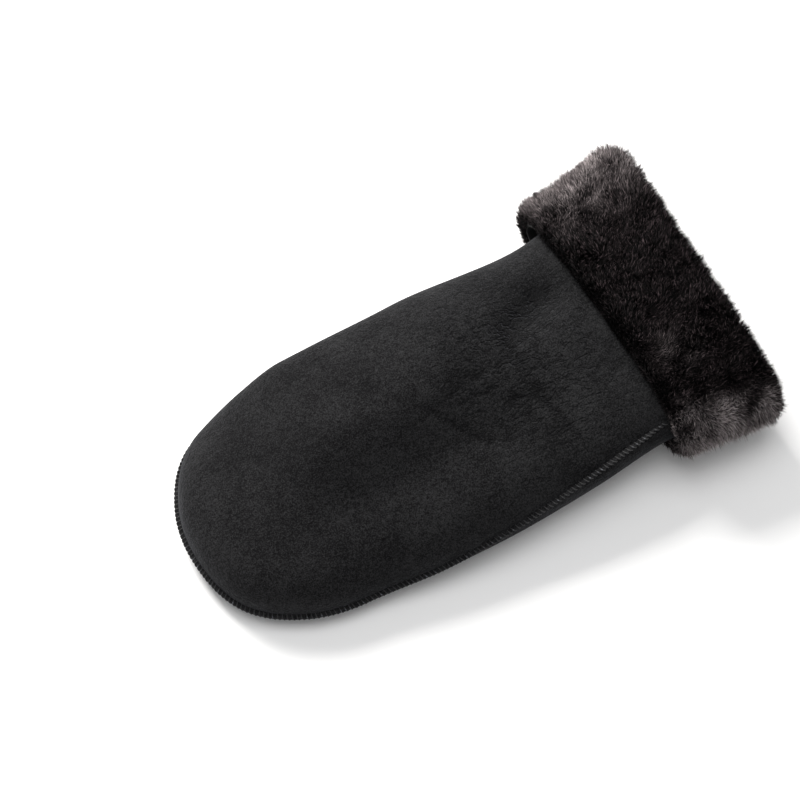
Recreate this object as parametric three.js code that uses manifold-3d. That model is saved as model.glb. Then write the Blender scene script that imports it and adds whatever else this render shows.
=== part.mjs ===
// A left-hand sheepskin mitten, lying on its palm with the thumb folded under it.
// The skin is suede outside and wool inside. Three leather panels are sewn edge to edge into the
// hand and thumb, and the skin at the wrist is turned back so that its wool shows as a cuff.
// Millimetres, +Z up, +X from the fingertips to the mouth, +Y towards the thumb side.
import * as THREE from 'three';
import { mergeVertices } from 'three/addons/utils/BufferGeometryUtils.js';
import Module from 'manifold-3d';

const wasm = await Module();
wasm.setup();

// Driving dimensions
const handLength = 272; // fingertip seam to the fold at the mouth
const palmWidth = 126; // flat width of the hand at the knuckles
const palmThickness = 38; // floor to crown where no thumb lies under the palm
const thumbReach = 62; // free length of the thumb, from its tip to the crotch
const freeShare = 0.44; // how much of the thumb's whole run that is; the rest is its root
const thumbWidth = 0.373 * palmWidth;
const thumbThickness = 22; // lying flat under the palm
const thumbInset = 7; // outer edge of the thumb in from that of the hand
const thumbTurn = -3; // degrees off the length of the hand
const thumbClearance = 1.2; // palm above the thumb that lies under it
const leather = 1.8; // wall of every panel
const linePile = 6.5; // wool inside the hand
const thumbPile = 4.5; // wool inside the thumb, pressed by the weight of the hand
const cuffDepth = 49; // fold back to the cuff's free edge
const cuffPile = 10.6; // wool outside the cuff
const cuffStand = 6; // how far the cuff's free edge stands off the hand at the thumb side
const foldSwell = 0.4; // how much more the wool bulges past the fold at its ends than on top
const foldSkew = 0.75; // how much more it does so on the thumb side than on the other
const lockHeight = 2.4; // how far the tips of the wool locks stand out
const lockLay = 0.14; // how far those tips lean, as a share of a lock's length
const ridgeHeight = 2.2; // sewn edges stand out of the surface by this much
const ridgeWidth = 3.6; // both sewn edges together
const ridgeFade = 18; // run over which ridges and dents end before the cuff
const gap = 0.3; // clearance between pieces that touch
const cuffEase = 0.7; // turned skin of the cuff off the panels that it lies on

// What follows from them
const halfPalm = palmWidth / 2;
const halfThumb = thumbWidth / 2;
const foldBand = leather + gap; // the turned edge of the cuff skin beyond the panels
const panelEnd = handLength - foldBand;
const cuffEdge = handLength - cuffDepth;
const cuffOutside = cuffEase + leather;
const woolInside = cuffOutside + gap;
const crotch = handLength / 2; // the thumb leaves the palm halfway along
const thumbSetback = crotch - thumbReach; // fingertip seam back to the thumb's tip
const thumbRun = thumbReach / freeShare; // thumb's tip to the end of its root in the wrist
const riseRun = 2 * thumbThickness; // length over which the palm rises to the thumb's tip
const beyond = 40; // how far the cutting solids run past what they cut
const far = 2 * palmWidth; // reach of the cutting solids up, down and sideways

// Seam outline of the hand, as rays from its spine: from the mouth along the little-finger side,
// round the tip and back along the thumb side. at is a share of handLength from the fingertips,
// angle is in degrees from straight ahead, reach is a share of halfPalm, height is that of the
// widest line as a share of palmThickness, and seam is where the seam lies on the section, in
// degrees above the widest line.
const HAND_EDGE = [
  { at: 1.0, angle: -90, reach: 1.12, height: 0.7, seam: 24 },
  { at: 0.82, angle: -90, reach: 1.02, height: 0.67, seam: 24 },
  { at: 0.66, angle: -90, reach: 1.03, height: 0.5, seam: 20 },
  { at: 0.5, angle: -90, reach: 1.02, height: 0.37, seam: 12 },
  { at: 0.36, angle: -90, reach: 0.965, height: 0.29, seam: 4 },
  { at: 0.21, angle: -90, reach: 0.86, height: 0.24, seam: 0 },
  { at: 0.21, angle: -60, reach: 0.855, height: 0.22, seam: 0 },
  { at: 0.21, angle: -30, reach: 0.905, height: 0.21, seam: 0 },
  { at: 0.21, angle: 0, reach: 0.92, height: 0.21, seam: 0 },
  { at: 0.21, angle: 30, reach: 0.985, height: 0.23, seam: 0 },
  { at: 0.21, angle: 60, reach: 1.05, height: 0.26, seam: -6 },
  { at: 0.21, angle: 90, reach: 1.0, height: 0.29, seam: -20 },
  { at: 0.36, angle: 90, reach: 0.975, height: 0.33, seam: -32 },
  { at: 0.5, angle: 90, reach: 0.95, height: 0.37, seam: -34 },
  { at: 0.66, angle: 90, reach: 0.945, height: 0.5, seam: -34 },
  { at: 0.82, angle: 90, reach: 0.98, height: 0.7, seam: -30 },
  { at: 1.0, angle: 90, reach: 1.17, height: 0.8, seam: -30 },
];

// Crown and underside of the hand over its spine, as shares of palmThickness.
const HAND_SPINE = [
  { at: 0.21, crown: 0.88, under: -0.06 },
  { at: 0.36, crown: 1.0, under: -0.05 },
  { at: 0.5, crown: 1.07, under: 0.065 },
  { at: 0.66, crown: 1.12, under: 0.16 },
  { at: 0.82, crown: 1.17, under: 0.28 },
  { at: 1.0, crown: 1.17, under: 0.28 },
];

// The same for the thumb, from its root inside the wrist: at is a share of thumbRun from the
// thumb's tip, reach a share of halfThumb, and heights are shares of thumbThickness.
const THUMB_EDGE = [
  { at: 1.0, angle: -90, reach: 1.0, height: 1.1, seam: 0 },
  { at: 0.75, angle: -90, reach: 1.12, height: 0.75, seam: 0 },
  { at: 0.5, angle: -90, reach: 1.08, height: 0.52, seam: 0 },
  { at: 0.3, angle: -90, reach: 1.0, height: 0.46, seam: 0 },
  { at: 0.15, angle: -90, reach: 0.86, height: 0.44, seam: 0 },
  { at: 0.15, angle: -45, reach: 0.93, height: 0.43, seam: 0 },
  { at: 0.15, angle: 0, reach: 0.83, height: 0.42, seam: 0 },
  { at: 0.15, angle: 45, reach: 0.95, height: 0.43, seam: 0 },
  { at: 0.15, angle: 90, reach: 0.88, height: 0.44, seam: 0 },
  { at: 0.3, angle: 90, reach: 0.96, height: 0.46, seam: 0 },
  { at: 0.5, angle: 90, reach: 0.94, height: 0.52, seam: 0 },
  { at: 0.75, angle: 90, reach: 0.76, height: 0.75, seam: 0 },
  { at: 1.0, angle: 90, reach: 0.6, height: 1.1, seam: 0 },
];
const THUMB_SPINE = [
  { at: 0.15, crown: 0.92, under: -0.1 },
  { at: 0.3, crown: 0.99, under: -0.1 },
  { at: 0.42, crown: 1.08, under: -0.09 },
  { at: 0.5, crown: 1.5, under: -0.08 },
  { at: 0.62, crown: 1.9, under: 0 },
  { at: 0.8, crown: 1.6, under: 0.2 },
  { at: 1.0, crown: 1.3, under: 0.66 },
];

// Soft dents (minus) and swells (plus) on the back of the hand: at along handLength, across as a
// share of halfPalm, long and wide as shares of halfPalm, turn in degrees, rise a share of
// palmThickness.
const BACK_FORMS = [
  { at: 0.76, across: 0.42, long: 0.5, wide: 0.19, turn: 24, rise: -0.12 },
  { at: 0.62, across: 0.1, long: 0.55, wide: 0.2, turn: 12, rise: -0.07 },
  { at: 0.76, across: 0.02, long: 0.36, wide: 0.28, turn: 10, rise: 0.06 },
  { at: 0.5, across: 0.55, long: 0.6, wide: 0.25, turn: 4, rise: 0.05 },
];

// The seam across the palm, from beyond the thumb side to beyond the little-finger side: across
// is a share of halfPalm, and behind is how far it lies behind the crotch, as a share of thumbReach.
const CROSS_SEAM = [
  { across: 2, behind: 0.44 },
  { across: 1, behind: 0.4 },
  { across: 0.55, behind: 0.2 },
  { across: 0.2, behind: 0.12 },
  { across: -0.4, behind: 0.14 },
  { across: -1, behind: 0.2 },
  { across: -2, behind: 0.22 },
];

// Cubic through the rows of a table with slopes taken from the neighbouring rows.
function column(rows, key, name, value) {
  const last = rows.length - 1;
  let i = 0;
  while (i < last - 1 && value > key(i + 1)) i++;
  const span = key(i + 1) - key(i);
  const slope = (k) => {
    const a = Math.max(k - 1, 0);
    const b = Math.min(k + 1, last);
    return (rows[b][name] - rows[a][name]) / (key(b) - key(a));
  };
  const t = THREE.MathUtils.clamp((value - key(i)) / span, 0, 1);
  const swing = t * t * (3 - 2 * t);
  return (
    rows[i][name] * (1 - swing) + rows[i + 1][name] * swing +
    span * t * (1 - t) * (slope(i) * (1 - t) - slope(i + 1) * t)
  );
}

const smooth = (value, low, high) => THREE.MathUtils.smoothstep(value, low, high);
const radians = THREE.MathUtils.degToRad;
const power = (value, exponent) => Math.pow(Math.max(value, 0), exponent);

// Where the cross seam lies along the hand, at a distance across it.
function crossSeam(y) {
  const key = (k) => -CROSS_SEAM[k].across * halfPalm;
  return crotch + column(CROSS_SEAM, key, 'behind', -y) * thumbReach;
}

// How much the thumb under the palm lifts a point of the hand.
function thumbLift(x, y) {
  const before = smooth(x, thumbSetback - riseRun, thumbSetback + 0.1 * riseRun);
  const behind = 1 - smooth(x, crotch, cuffEdge);
  const across = smooth(y, -0.42 * halfPalm, 0.2 * halfPalm);
  return (thumbThickness + thumbClearance) * before * behind * across;
}

// The dents and swells end where the cuff lies on the panels.
function backForm(x, y) {
  const open = 1 - smooth(x, cuffEdge - ridgeFade, cuffEdge);
  return BACK_FORMS.reduce((sum, form) => {
    const turn = radians(form.turn);
    const dx = x - form.at * handLength;
    const dy = y - form.across * halfPalm;
    const a = (dx * Math.cos(turn) + dy * Math.sin(turn)) / (form.long * halfPalm);
    const b = (dy * Math.cos(turn) - dx * Math.sin(turn)) / (form.wide * halfPalm);
    return sum + form.rise * palmThickness * open * Math.exp(-a * a - b * b);
  }, 0);
}

// The hand and the thumb are soft lenses that differ in size, place and what presses on them.
const hand = {
  edge: HAND_EDGE,
  spine: HAND_SPINE,
  length: handLength,
  half: halfPalm,
  thick: palmThickness,
  start: new THREE.Vector2(0, 0),
  turn: 0,
  topPower: 2.5,
  underPower: 2.3,
  ridgeAt: (x) => ridgeHeight * (1 - smooth(x, cuffEdge - ridgeFade, cuffEdge - gap)),
  press(x, y, phi) {
    const top = Math.max(Math.sin(phi), 0);
    return thumbLift(x, y) * (1 - 0.35 * top) + backForm(x, y) * top * top;
  },
};
const thumb = {
  edge: THUMB_EDGE,
  spine: THUMB_SPINE,
  length: thumbRun,
  half: halfThumb,
  thick: thumbThickness,
  start: new THREE.Vector2(thumbSetback, halfPalm - thumbInset - halfThumb),
  turn: radians(thumbTurn),
  topPower: 2.2,
  underPower: 2.4,
  ridgeAt: (x, y) => (x < crossSeam(y) - ridgeWidth ? ridgeHeight : 0),
  press: () => 0,
};

// The ray at position i along the edge table: at and angle run straight, the rest is smoothed.
function rayAt(lens, i) {
  const key = (k) => k;
  const a = lens.edge[Math.min(Math.floor(i), lens.edge.length - 2)];
  const b = lens.edge[lens.edge.indexOf(a) + 1];
  const t = i - lens.edge.indexOf(a);
  const at = a.at + (b.at - a.at) * t;
  const over = (name) => column(lens.spine, (k) => lens.spine[k].at, name, at) * lens.thick;
  return {
    at,
    shift: 0,
    angle: radians(a.angle + (b.angle - a.angle) * t),
    reach: column(lens.edge, key, 'reach', i) * lens.half,
    height: column(lens.edge, key, 'height', i) * lens.thick,
    seam: radians(column(lens.edge, key, 'seam', i)),
    crown: over('crown'),
    under: over('under'),
  };
}

// The ray of the hand straight across to one side, at a share of its length from the fingertips.
function stationRay(side, at) {
  const share = THREE.MathUtils.clamp(at, HAND_SPINE[0].at, 1);
  let i = 0;
  while (i < HAND_SPINE.length - 2 && HAND_EDGE[i + 1].at > share) i++;
  const position = i + (HAND_EDGE[i].at - share) / (HAND_EDGE[i].at - HAND_EDGE[i + 1].at);
  return rayAt(hand, side < 0 ? position : HAND_EDGE.length - 1 - position);
}

// All rays of a lens from mouth to mouth. past moves the mouth: short of the end of the table, or
// beyond it with the section kept.
function raysOf(lens, perRow, past = 0) {
  const count = (lens.edge.length - 1) * perRow;
  const rays = Array.from({ length: count + 1 }, (_, i) => rayAt(lens, i / perRow));
  const [first, last] = [rays[0], rays[count]].map((ray) => ({ ...ray, shift: past }));
  return past > 0 ? [first, ...rays, last] : [first, ...rays.slice(1, count), last];
}

// A point of the lens: phi runs from 90 degrees at the crown to -90 at the underside, and offset
// is the distance outside the leather's outer surface.
function lensPoint(lens, ray, phi, offset) {
  const side = phi >= 0 ? lens.topPower : lens.underPower;
  const rise = phi >= 0 ? ray.crown - ray.height : ray.height - ray.under;
  const out = (ray.reach + offset) * power(Math.cos(phi), 2 / side);
  const up = Math.sign(phi) * (rise + offset) * power(Math.abs(Math.sin(phi)), 2 / side);
  const along = ray.at * lens.length + ray.shift - Math.cos(ray.angle) * out;
  const across = Math.sin(ray.angle) * out;
  const x = lens.start.x + along * Math.cos(lens.turn) - across * Math.sin(lens.turn);
  const y = lens.start.y + along * Math.sin(lens.turn) + across * Math.cos(lens.turn);
  const z = ray.height + up + lens.press(x, y, phi);
  return new THREE.Vector3(x, y, Math.max(z, -offset, 0));
}

// The angle on a section at a share of the way from its widest line (0) to its crown (1) or its
// underside (-1), so that even shares give points that lie about evenly over its width.
const angleAt = (share) =>
  (Math.sign(share) * (1 - power(1 - Math.abs(share), 1.25)) * Math.PI) / 2;
const shareAt = (phi) => Math.sign(phi) * (1 - power(1 - Math.abs(phi) / (Math.PI / 2), 0.8));

// Angles of the rows of a section. A sewn ridge adds four rows about the seam.
function sectionRows(ray, rows, ridged) {
  const foot = ridged ? ridgeWidth / 2 / ray.reach : 0;
  const crest = foot * 0.62;
  const run = (from, phi) => {
    const to = shareAt(phi);
    return Array.from({ length: rows }, (_, k) => angleAt(from + ((to - from) * k) / rows));
  };
  const down = [...run(1, ray.seam + foot), ray.seam + foot];
  const mid = ridged ? [ray.seam + crest, ray.seam - crest, ray.seam - foot] : [];
  return [...down, ...mid, ...run(-1, ray.seam - foot).reverse()];
}

function solidFrom(geometry) {
  const plain = geometry.clone();
  plain.deleteAttribute('normal');
  plain.deleteAttribute('uv');
  const merged = mergeVertices(plain, 1e-3);
  return new wasm.Manifold(
    new wasm.Mesh({
      numProp: 3,
      vertProperties: merged.attributes.position.array,
      triVerts: new Uint32Array(merged.index.array),
    }),
  );
}

function meshFrom(points, triangles) {
  const geometry = new THREE.BufferGeometry().setFromPoints(points);
  geometry.setIndex(triangles);
  return solidFrom(geometry);
}

function extruded(shape, depth) {
  return new THREE.ExtrudeGeometry(shape, { depth, bevelEnabled: false });
}

// Two triangles for each cell of a grid of points stored row after row.
function gridTriangles(rows, columns, wrapRows = false, wrapColumns = false) {
  const triangles = [];
  for (let i = 0; i < rows - (wrapRows ? 0 : 1); i++) {
    for (let j = 0; j < columns - (wrapColumns ? 0 : 1); j++) {
      const a = i * columns + j;
      const b = i * columns + ((j + 1) % columns);
      const c = ((i + 1) % rows) * columns + ((j + 1) % columns);
      const d = ((i + 1) % rows) * columns + j;
      triangles.push(a, c, b, a, d, c);
    }
  }
  return triangles;
}

// Closes a lens at the mouth, straight across from its last ray to its first.
function mouthCap(rows, columns) {
  const last = (rows - 1) * columns;
  const triangles = [];
  for (let j = 0; j < columns - 1; j++) {
    triangles.push(last + j, j + 1, last + j + 1, last + j, j, j + 1);
  }
  return triangles;
}

// A whole lens as one closed solid, offset from the leather's outer surface.
function lensSolid(lens, { offset = 0, past = 0, perRow = 3, rows = 6, ridged = false }) {
  const rays = raysOf(lens, perRow, past);
  const points = [];
  rays.forEach((ray) => {
    const angles = sectionRows(ray, rows, ridged);
    angles.forEach((phi, k) => {
      const point = lensPoint(lens, ray, phi, offset);
      const crest = ridged && (k === rows + 1 || k === rows + 2);
      const stands = lens.ridgeAt(point.x, point.y);
      points.push(crest ? lensPoint(lens, ray, phi, offset + stands) : point);
    });
  });
  const columns = points.length / rays.length;
  return meshFrom(points, [...gridTriangles(rays.length, columns), ...mouthCap(rays.length, columns)]);
}

// Everything above the sewn line of the hand (side 1) or below it (side -1), kept half a gap off:
// a surface from halfway up over the spine out through the seam, carried up or down from there.
function seamSide(side) {
  const rays = raysOf(hand, 3, beyond);
  const points = rays.flatMap((ray) => {
    const [crown, seam, under] = [Math.PI / 2, ray.seam, -Math.PI / 2].map((phi) =>
      lensPoint(hand, ray, phi, 0),
    );
    const away = new THREE.Vector3().subVectors(seam, crown).setZ(0).normalize();
    const near = [crown.clone().setZ((crown.z + under.z) / 2), seam];
    near.push(seam.clone().addScaledVector(away, 4 * ridgeWidth));
    near.forEach((point) => (point.z += (side * gap) / 2));
    return [...near, ...near.map((point) => point.clone().setZ(far * side)).reverse()];
  });
  const triangles = [...gridTriangles(rays.length, 6), ...mouthCap(rays.length, 6)];
  if (side > 0) triangles.reverse();
  return meshFrom(points, triangles);
}

// The part of space that the thumb panel takes: below the thumb's own seam, and everything on
// the wrist side of the seam that crosses the palm. grow moves both by half a gap.
function thumbPanelSpace(grow) {
  const fingerSide = THUMB_EDGE.slice(0, 5).reverse();
  const key = (k) => thumbSetback + fingerSide[k].at * thumbRun;
  const low = thumbSetback - 2 * ridgeHeight;
  const high = crossSeam(far) + ridgeWidth;
  const steps = 12;
  const profile = new THREE.Shape([new THREE.Vector2(low, -far), new THREE.Vector2(high, -far)]);
  for (let k = steps; k >= 0; k--) {
    const x = THREE.MathUtils.lerp(low, high, k / steps);
    profile.lineTo(x, column(fingerSide, key, 'height', x) * thumbThickness + grow);
  }
  const beside = thumb.start.y - 1.5 * halfThumb;
  const under = extruded(profile, far - beside);
  under.rotateX(Math.PI / 2).translate(0, far, 0);

  const wall = new THREE.Shape();
  wall.moveTo(handLength + beyond, -far);
  wall.lineTo(handLength + beyond, far);
  for (let k = 0; k <= 4 * steps; k++) {
    const y = THREE.MathUtils.lerp(far, -far, k / (4 * steps));
    wall.lineTo(crossSeam(y) - grow, y);
  }
  const wrist = extruded(wall, 2 * far).translate(0, 0, -far);
  return solidFrom(under).add(solidFrom(wrist));
}

// The sewn ridge of the cross seam, laid along the underside of the palm up to the thumb's root.
function crossRidge() {
  const steps = 14;
  const corners = [];
  for (let k = 0; k <= steps; k++) {
    const y = THREE.MathUtils.lerp(-0.95 * halfPalm, thumb.start.y - halfThumb, k / steps);
    const x = crossSeam(y);
    const ray = stationRay(y < 0 ? -1 : 1, x / handLength);
    const phi = -Math.acos(power(Math.abs(y) / ray.reach, hand.underPower / 2));
    const surface = lensPoint(hand, ray, phi, 0).z;
    for (const [dx, dz] of [[-1, 0.5 * leather], [-1, -ridgeHeight], [1, -ridgeHeight], [1, 0.5 * leather]]) {
      corners.push(new THREE.Vector3(x + (dx * ridgeWidth) / 2, y, Math.max(surface + dz, 0)));
    }
  }
  const last = steps * 4;
  const ends = [0, 1, 2, 0, 2, 3, last, last + 2, last + 1, last, last + 3, last + 2];
  return meshFrom(corners, [...gridTriangles(steps + 1, 4, false, true), ...ends]);
}

// A closed ring round the wrist at one station: little-finger side down, thumb side up again.
function wristRing(x, offset, around) {
  const half = around / 2;
  return [-1, 1].flatMap((side) => {
    const ray = stationRay(side, x / handLength);
    const stand = side > 0 ? cuffStand * (1 - smooth(x, cuffEdge, panelEnd)) : 0;
    return Array.from({ length: half }, (_, k) => {
      const phi = angleAt(-side * (1 - (2 * k) / half));
      const { y, z } = lensPoint(hand, ray, phi, offset);
      const past = Math.max(x - handLength - gap, 0);
      const bulge = past * (foldSwell * Math.cos(2 * phi) + foldSkew * side * Math.cos(phi));
      return new THREE.Vector3(x + bulge, y + stand * Math.cos(phi) ** 2, z);
    });
  });
}

// A band round the wrist: its closed profile is a list of stations and offsets. crest gives the
// height of the wool lock that stands on a cell, or nothing where the cell is plain.
function wristBand(profile, around, crest = () => 0) {
  const points = profile.flatMap(({ x, out }) => wristRing(x, out, around));
  const triangles = [];
  for (let i = 0; i < profile.length; i++) {
    for (let j = 0; j < around; j++) {
      const next = ((i + 1) % profile.length) * around;
      const cell = [i * around + j, i * around + ((j + 1) % around)];
      cell.push(next + ((j + 1) % around), next + j);
      const [a, b, c, d] = cell;
      const height = crest(i, j);
      if (!height) {
        triangles.push(a, c, b, a, d, c);
        continue;
      }
      const [pa, pb, pc, pd] = cell.map((k) => points[k]);
      const out = new THREE.Vector3().subVectors(pc, pa).cross(pb.clone().sub(pd)).normalize();
      const lay = pa.clone().add(pb).sub(pc).sub(pd).multiplyScalar(lockLay * Math.sin(2.3 * j + i));
      const tip = [pa, pb, pc, pd].reduce((sum, p) => sum.addScaledVector(p, 0.25), lay);
      tip.addScaledVector(out, height);
      tip.z = Math.max(tip.z, 0);
      const top = points.push(tip) - 1;
      triangles.push(a, top, b, b, top, c, c, top, d, d, top, a);
    }
  }
  return meshFrom(points, triangles);
}

// The skin of the cuff: turned back over the panels, with its fold closing their ends.
function cuffBand() {
  return wristBand(
    [
      { x: cuffEdge, out: cuffEase },
      { x: panelEnd + gap, out: cuffEase },
      { x: panelEnd + gap, out: -leather },
      { x: handLength, out: -leather * 0.6 },
      { x: handLength, out: cuffOutside - leather * 0.6 },
      { x: handLength - leather * 0.8, out: cuffOutside },
      { x: (cuffEdge + handLength) / 2, out: cuffOutside },
      { x: cuffEdge, out: cuffOutside },
    ],
    48,
  );
}

// The wool of the cuff: over the turned skin, round the fold and into the mouth. Locks stand on
// all of it but the faces against the skin and the lining.
function cuffWool() {
  const base = cuffPile - lockHeight;
  const mouth = -leather - linePile;
  const hem = 0.15 * base;
  const inner = [
    { x: cuffEdge + hem, out: woolInside },
    { x: handLength + gap, out: woolInside },
    { x: handLength + gap, out: mouth },
  ];
  const fold = [
    { x: handLength + base * 0.55, out: mouth * 0.8 },
    { x: handLength + base * 0.95, out: mouth * 0.3 },
    { x: handLength + base * 0.85, out: woolInside + base * 0.4 },
    { x: handLength + base * 0.2, out: woolInside + base * 0.9 },
  ];
  const face = [0.84, 0.68, 0.52, 0.36, 0.2, 0.06].map((share) => ({
    x: cuffEdge + cuffDepth * share,
    out: woolInside + base,
  }));
  const edge = [
    { x: cuffEdge - hem, out: woolInside + base * 0.75 },
    { x: cuffEdge - hem, out: woolInside + base * 0.25 },
  ];
  const profile = [...inner, ...fold, ...face, ...edge];
  const crest = (i, j) => {
    const free = i >= inner.length && i < profile.length - 2;
    return free ? lockHeight * (0.75 + 0.25 * Math.sin(5.1 * j + 3.7 * i)) : 0;
  };
  return wristBand(profile, 52, crest);
}

// Leather: the sewn shell of hand and thumb, cut along its seams into three panels.
const outer = lensSolid(hand, { past: -foldBand, ridged: true })
  .add(lensSolid(thumb, { perRow: 2, rows: 5, ridged: true }))
  .add(crossRidge());
const inner = lensSolid(hand, { offset: -leather, past: beyond })
  .add(lensSolid(thumb, { offset: -leather, perRow: 2, rows: 4 }));
const shell = outer.subtract(inner);
const backPanel = shell.intersect(seamSide(1));
const underside = shell.intersect(seamSide(-1));
const thumbPanel = underside.intersect(thumbPanelSpace(-gap / 2));
const palmPanel = underside.subtract(thumbPanelSpace(gap / 2));

// Wool lining: fills the leather shell round a hollow for the hand and one for the thumb.
const liningOut = -leather - gap;
const lining = lensSolid(hand, { offset: liningOut })
  .add(lensSolid(thumb, { offset: liningOut, perRow: 2, rows: 4 }))
  .subtract(lensSolid(hand, { offset: -leather - linePile, past: beyond, perRow: 2, rows: 4 }))
  .subtract(lensSolid(thumb, { offset: -leather - thumbPile, perRow: 2, rows: 4 }));

const suede = { color: 0x1f1f21, roughness: 0.92, metalness: 0 };
const cutEdge = { color: 0x141414, roughness: 0.85, metalness: 0 };
const wool = { color: 0x1c1718, roughness: 0.8, metalness: 0 };

const mitten = new THREE.Group();
function addNode(name, solid, look) {
  const made = solid.getMesh();
  const geometry = new THREE.BufferGeometry();
  geometry.setAttribute('position', new THREE.BufferAttribute(made.vertProperties, made.numProp));
  geometry.setIndex(new THREE.BufferAttribute(made.triVerts, 1));
  geometry.computeVertexNormals();
  const mesh = new THREE.Mesh(geometry, new THREE.MeshStandardMaterial(look));
  mesh.name = name;
  mitten.add(mesh);
}
addNode('back_panel', backPanel, suede);
addNode('palm_panel', palmPanel, suede);
addNode('thumb_panel', thumbPanel, suede);
addNode('wool_lining', lining, wool);
addNode('cuff_skin', cuffBand(), cutEdge);
addNode('cuff_wool', cuffWool(), wool);

// The origin is the middle of the mitten's footprint, on the surface that it lies on.
const box = new THREE.Box3().setFromObject(mitten);
const centre = box.getCenter(new THREE.Vector3());
mitten.position.set(-centre.x, -centre.y, -box.min.z);

export default mitten;
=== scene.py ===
"""A left-hand sheepskin mitten lying on its palm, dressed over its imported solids."""

import math
from types import SimpleNamespace

import bmesh
import bpy
import numpy as np
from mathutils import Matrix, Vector


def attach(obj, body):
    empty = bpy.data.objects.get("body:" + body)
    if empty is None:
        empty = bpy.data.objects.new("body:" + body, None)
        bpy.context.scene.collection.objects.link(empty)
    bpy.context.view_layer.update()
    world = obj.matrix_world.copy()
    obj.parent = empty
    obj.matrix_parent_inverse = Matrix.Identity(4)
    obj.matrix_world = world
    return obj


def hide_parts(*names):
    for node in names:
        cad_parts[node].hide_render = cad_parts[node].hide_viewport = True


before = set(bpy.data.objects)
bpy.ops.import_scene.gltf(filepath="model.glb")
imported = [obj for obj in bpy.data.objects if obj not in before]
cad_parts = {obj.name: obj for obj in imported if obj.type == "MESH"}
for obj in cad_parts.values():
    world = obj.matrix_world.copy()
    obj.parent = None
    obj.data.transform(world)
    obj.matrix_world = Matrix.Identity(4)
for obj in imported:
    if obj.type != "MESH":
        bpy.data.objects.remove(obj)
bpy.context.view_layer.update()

# The view
# The camera looks down on the back of the hand from the little-finger side, as in the photograph:
# 65 degrees above the floor, a long lens, the mitten a little right of the middle and below it.
MM = 0.001
azimuth, elevation = math.radians(-31), math.radians(65)
flat = np.array([math.sin(azimuth), -math.cos(azimuth), 0]) * math.cos(elevation)
back_of_view = flat + (0, 0, math.sin(elevation))
middle = np.array([-3.3, -0.7, 20]) * MM
EYE_DISTANCE, LENS, SENSOR = 916, 85, 36
LENS_SHIFT = (-0.069, 0.021)
camera_data = bpy.data.cameras.new("camera")
camera_data.lens, camera_data.sensor_width = LENS, SENSOR
camera_data.shift_x, camera_data.shift_y = LENS_SHIFT
camera = bpy.data.objects.new("camera", camera_data)
camera.location = middle + back_of_view * EYE_DISTANCE * MM
camera.rotation_mode = "QUATERNION"
camera.rotation_quaternion = Vector(-back_of_view).to_track_quat("-Z", "Y")
bpy.context.collection.objects.link(camera)
bpy.context.scene.camera = camera
bpy.context.scene.view_settings.view_transform = "Standard"


def linear(code):
    """An sRGB hex colour as linear red, green, blue and 1: straight near black, a power of 2.4 above."""
    parts = [int(code[k : k + 2], 16) / 255 for k in (1, 3, 5)]
    return [c / 12.92 if c < 0.04045 else ((c + 0.055) / 1.055) ** 2.4 for c in parts] + [1]


def softbox(name, place, size, power, colour):
    """A square lamp at place in metres, turned to the middle of the mitten."""
    lamp = bpy.data.lights.new(name, "AREA")
    lamp.shape, lamp.size, lamp.energy = "SQUARE", size, power
    lamp.color = linear(colour)[:3]
    made = bpy.data.objects.new(name, lamp)
    made.location = place
    made.rotation_mode = "QUATERNION"
    made.rotation_quaternion = Vector(middle - np.array(place)).to_track_quat("-Z", "Y")
    bpy.context.collection.objects.link(made)


softbox("key_from_thumb_side", place=(-0.04, 1.15, 0.8), size=0.6, power=36, colour="#fffdfa")
softbox("overhead", place=(0.1, 0.1, 1.6), size=1.2, power=12, colour="#ffffff")
softbox("fill_from_fingers", place=(-1.3, -0.4, 0.8), size=0.9, power=0.7, colour="#f4f7ff")
ROOM_LIGHT = 0.42
world = bpy.data.worlds.new("studio")
world.use_nodes = True
room = world.node_tree.nodes["Background"]
room.inputs["Color"].default_value = linear("#ffffff")
room.inputs["Strength"].default_value = ROOM_LIGHT
bpy.context.scene.world = world


def finish(name, base, rough, **more):
    """A material with a Principled surface; returns it with its tree and that surface."""
    made = bpy.data.materials.new(name)
    made.use_nodes = True
    tree = made.node_tree
    surface = tree.nodes["Principled BSDF"]
    surface.inputs["Base Color"].default_value = linear(base)
    surface.inputs["Roughness"].default_value = rough
    for socket, value in more.items():
        surface.inputs[socket.replace("_", " ")].default_value = value
    return made, tree, surface


# The floor is a plain pale table, matte, with no edge in sight: it reaches this many metres each way.
FLOOR_REACH = 6
floor_mesh = bpy.data.meshes.new("floor")
corners = [(x * FLOOR_REACH, y * FLOOR_REACH, 0) for x, y in ((-1, -1), (1, -1), (1, 1), (-1, 1))]
floor_mesh.from_pydata(corners, [], [(0, 1, 2, 3)])
floor = bpy.data.objects.new("floor", floor_mesh)
bpy.context.collection.objects.link(floor)
floor_mesh.materials.append(finish("pale_table", "#f6f6f6", rough=0.9)[0])

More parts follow.
